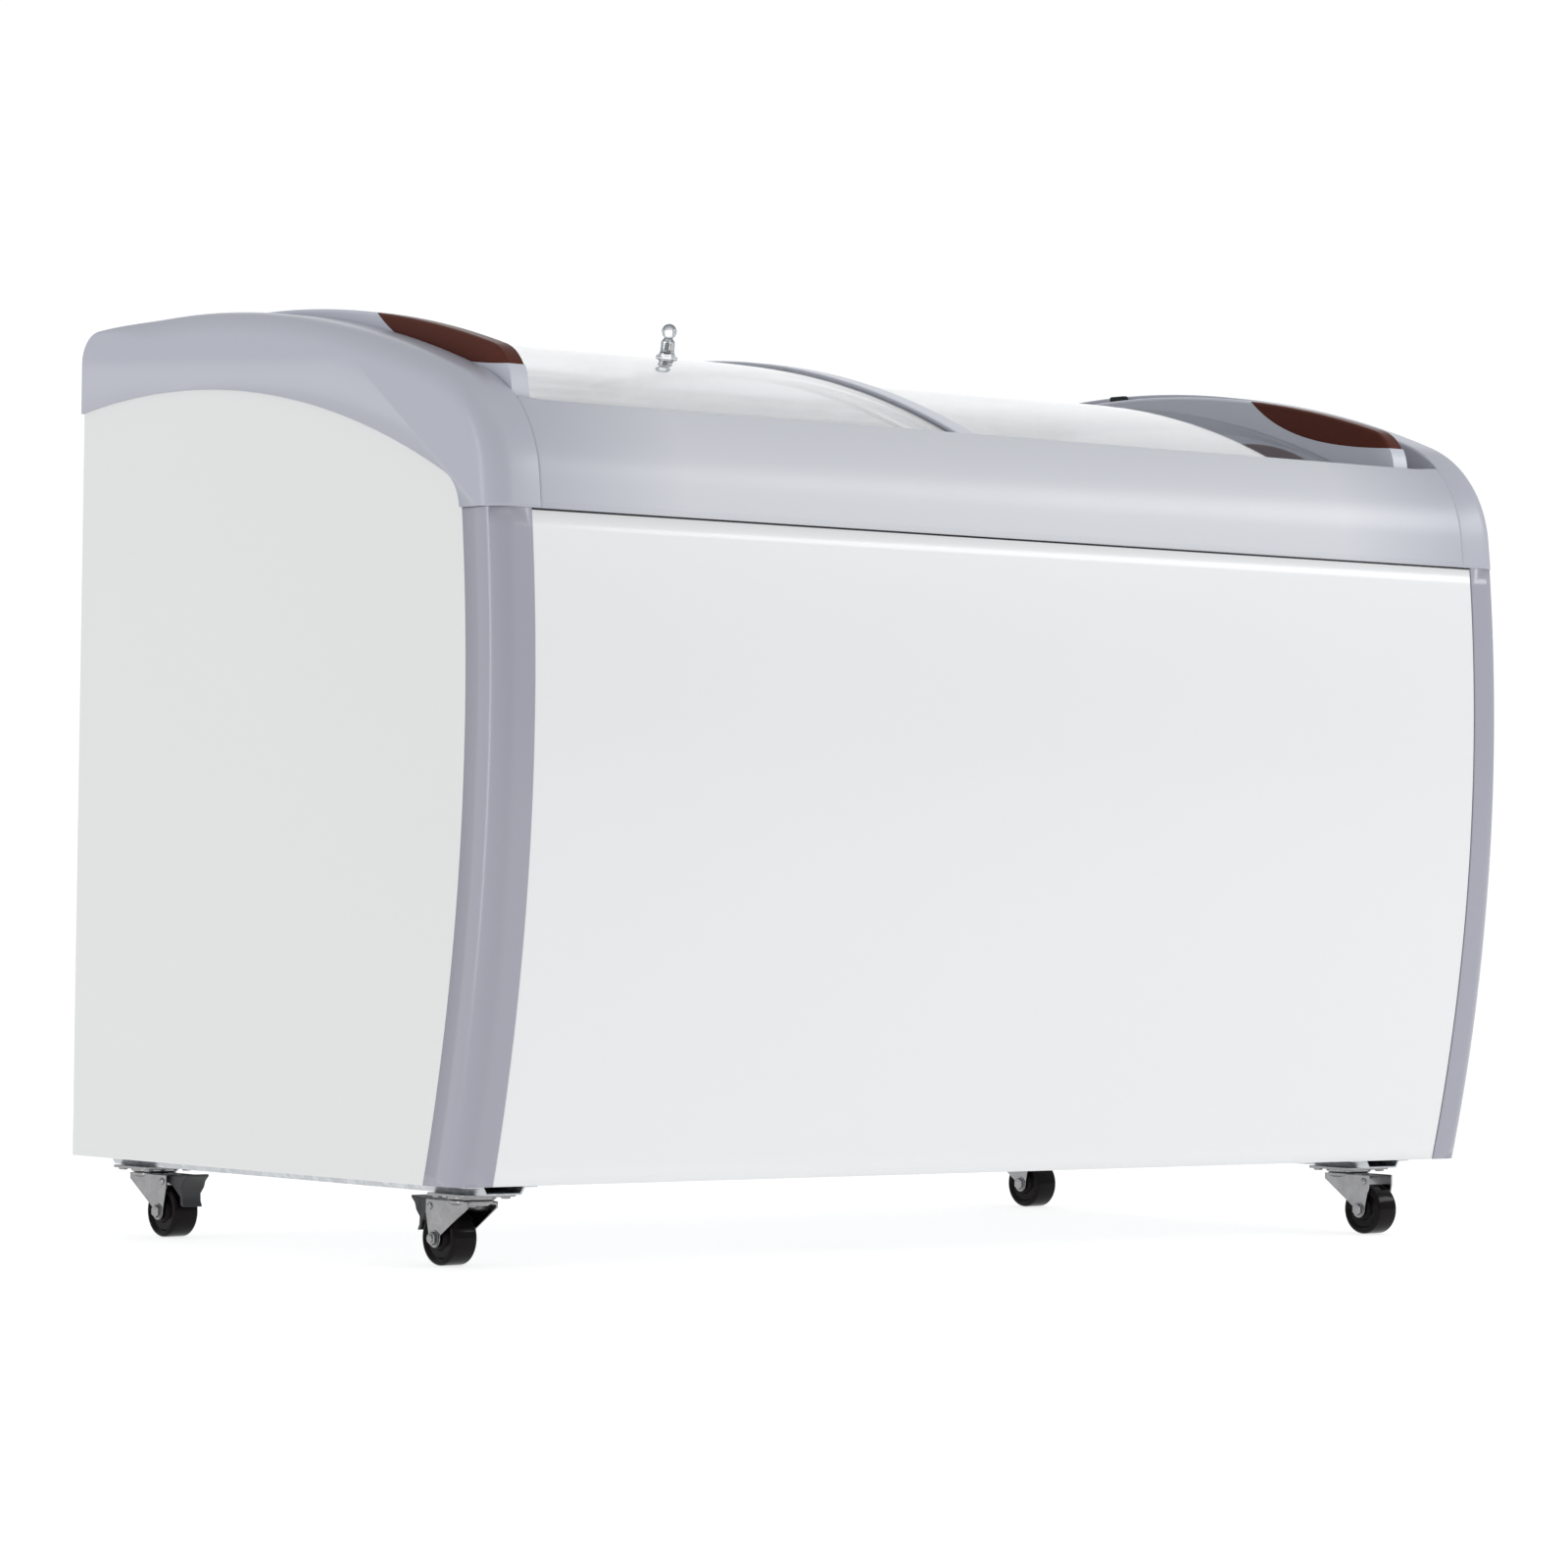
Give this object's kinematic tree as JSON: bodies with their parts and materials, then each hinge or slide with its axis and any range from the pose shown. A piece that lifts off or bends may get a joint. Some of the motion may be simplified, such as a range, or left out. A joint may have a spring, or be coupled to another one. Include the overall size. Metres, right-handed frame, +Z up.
{
  "type": "chest freezer",
  "caption": "Retail chest freezer with a bowed front, moulded end caps, curved sliding glass lids with side grips, wire baskets and swivel casters.",
  "frame": {"origin": "on the floor, under the middle of the freezer's bounding box", "axes": "+X is to the right of a person facing the bowed front, +Y is from the front to the rear, +Z is up"},
  "size_m": [1.286, 0.6822, 0.8986],
  "materials": {
    "side_steel": "white baked enamel, fine orange peel",
    "front_steel": "white baked enamel, glossier than the sides",
    "galvanised": "galvanised sheet",
    "foam": "rigid polyurethane foam",
    "liner": "embossed coated sheet",
    "cap_plastic": "fine-grained lavender grey moulding",
    "rail_plastic": "satin silver-grey moulding",
    "grip_plastic": "dark brown with a copper fleck",
    "lid_glass": "clear tempered",
    "clear_plastic": "clear",
    "rubber": "soft matte",
    "black_plastic": "satin",
    "wheel_black": "hard nylon tread",
    "zinc": "bright zinc plate",
    "aluminium": "satin anodised",
    "black_steel": "black enamel",
    "copper": "bare copper",
    "coated_wire": "white dipped coating on wire"
  },
  "bodies": {
    "cabinet": {"front_panel": "front_steel", "right_side_panel": "side_steel", "left_side_panel": "side_steel", "rear_panel": "side_steel", "base_pan": "galvanised", "insulation_foam": "foam", "inner_liner": "liner", "right_corner_post": "cap_plastic", "left_corner_post": "cap_plastic", "right_end_cap": "cap_plastic", "left_end_cap": "cap_plastic", "front_rail": "rail_plastic", "rear_rail": "rail_plastic", "front_lid_track": "aluminium", "rear_lid_track": "aluminium", "lid_bumper": "rubber", "floor_basket": "coated_wire", "step_basket": "coated_wire", "drain_plug": "black_plastic", "left_base_channel": "galvanised", "right_base_channel": "galvanised", "vent_grille": "black_plastic", "compressor_plate": "galvanised", "compressor": "black_steel", "condenser": "aluminium", "fan_shroud": "black_steel", "filter_drier": "copper", "discharge_pipe": "copper", "thermostat_housing": "black_plastic", "cord_gland": "black_plastic", "front_left_caster_plate": "zinc", "rear_left_caster_plate": "zinc", "front_right_caster_plate": "zinc", "rear_right_caster_plate": "zinc"},
    "left_lid": {"left_lid_glass": "lid_glass", "left_lid_frame": "cap_plastic", "left_lid_grip": "grip_plastic", "left_lid_edge_trim": "cap_plastic", "left_lid_seal": "rubber", "lid_knob": "clear_plastic"},
    "right_lid": {"right_lid_glass": "lid_glass", "right_lid_frame": "cap_plastic", "right_lid_grip": "grip_plastic"},
    "fan": {"fan_blades": "black_plastic"},
    "dial": {"thermostat_dial": "black_plastic"},
    "front_left_swivel": {"front_left_caster_fork": "zinc", "front_left_caster_axle": "zinc"},
    "front_left_wheel": {"front_left_caster_wheel": "wheel_black"},
    "front_left_pedal": {"front_left_brake_pedal": "black_plastic"},
    "rear_left_swivel": {"rear_left_caster_fork": "zinc", "rear_left_caster_axle": "zinc"},
    "rear_left_wheel": {"rear_left_caster_wheel": "wheel_black"},
    "rear_left_pedal": {"rear_left_brake_pedal": "black_plastic"},
    "front_right_swivel": {"front_right_caster_fork": "zinc", "front_right_caster_axle": "zinc"},
    "front_right_wheel": {"front_right_caster_wheel": "wheel_black"},
    "rear_right_swivel": {"rear_right_caster_fork": "zinc", "rear_right_caster_axle": "zinc"},
    "rear_right_wheel": {"rear_right_caster_wheel": "wheel_black"}
  },
  "joints": [
    {"name": "left_lid_slide", "type": "slide", "parent": "cabinet", "child": "left_lid", "axis": [1, 0, 0], "range_m": [0, 0.5]},
    {"name": "right_lid_slide", "type": "slide", "parent": "cabinet", "child": "right_lid", "axis": [1, 0, 0], "range_m": [-0.5, 0.037]},
    {"name": "fan_spin", "type": "hinge", "parent": "cabinet", "child": "fan", "pos_m": [0.505, 0.209, 0.19], "axis": [0, 1, 0], "continuous": true},
    {"name": "thermostat_turn", "type": "hinge", "parent": "cabinet", "child": "dial", "pos_m": [0.58, 0.33, 0.322], "axis": [0, 1, 0], "range_deg": [-150, 150]},
    {"name": "front_left_swivel_turn", "type": "hinge", "parent": "cabinet", "child": "front_left_swivel", "pos_m": [-0.578, -0.228, 0.06], "axis": [0, 0, 1], "continuous": true},
    {"name": "front_left_wheel_spin", "type": "hinge", "parent": "front_left_swivel", "child": "front_left_wheel", "pos_m": [-0.578, -0.196, 0.025], "axis": [1, 0, 0], "continuous": true},
    {"name": "front_left_pedal_press", "type": "hinge", "parent": "front_left_swivel", "child": "front_left_pedal", "pos_m": [-0.578, -0.187, 0.056], "axis": [-1, 0, 0], "range_deg": [0, 8]},
    {"name": "rear_left_swivel_turn", "type": "hinge", "parent": "cabinet", "child": "rear_left_swivel", "pos_m": [-0.578, 0.286, 0.06], "axis": [0, 0, 1], "continuous": true},
    {"name": "rear_left_wheel_spin", "type": "hinge", "parent": "rear_left_swivel", "child": "rear_left_wheel", "pos_m": [-0.578, 0.254, 0.025], "axis": [1, 0, 0], "continuous": true},
    {"name": "rear_left_pedal_press", "type": "hinge", "parent": "rear_left_swivel", "child": "rear_left_pedal", "pos_m": [-0.578, 0.245, 0.056], "axis": [1, 0, 0], "range_deg": [0, 8]},
    {"name": "front_right_swivel_turn", "type": "hinge", "parent": "cabinet", "child": "front_right_swivel", "pos_m": [0.54, -0.228, 0.06], "axis": [0, 0, 1], "continuous": true},
    {"name": "front_right_wheel_spin", "type": "hinge", "parent": "front_right_swivel", "child": "front_right_wheel", "pos_m": [0.54, -0.26, 0.025], "axis": [1, 0, 0], "continuous": true},
    {"name": "rear_right_swivel_turn", "type": "hinge", "parent": "cabinet", "child": "rear_right_swivel", "pos_m": [0.54, 0.286, 0.06], "axis": [0, 0, 1], "continuous": true},
    {"name": "rear_right_wheel_spin", "type": "hinge", "parent": "rear_right_swivel", "child": "rear_right_wheel", "pos_m": [0.54, 0.254, 0.025], "axis": [1, 0, 0], "continuous": true}
  ]
}
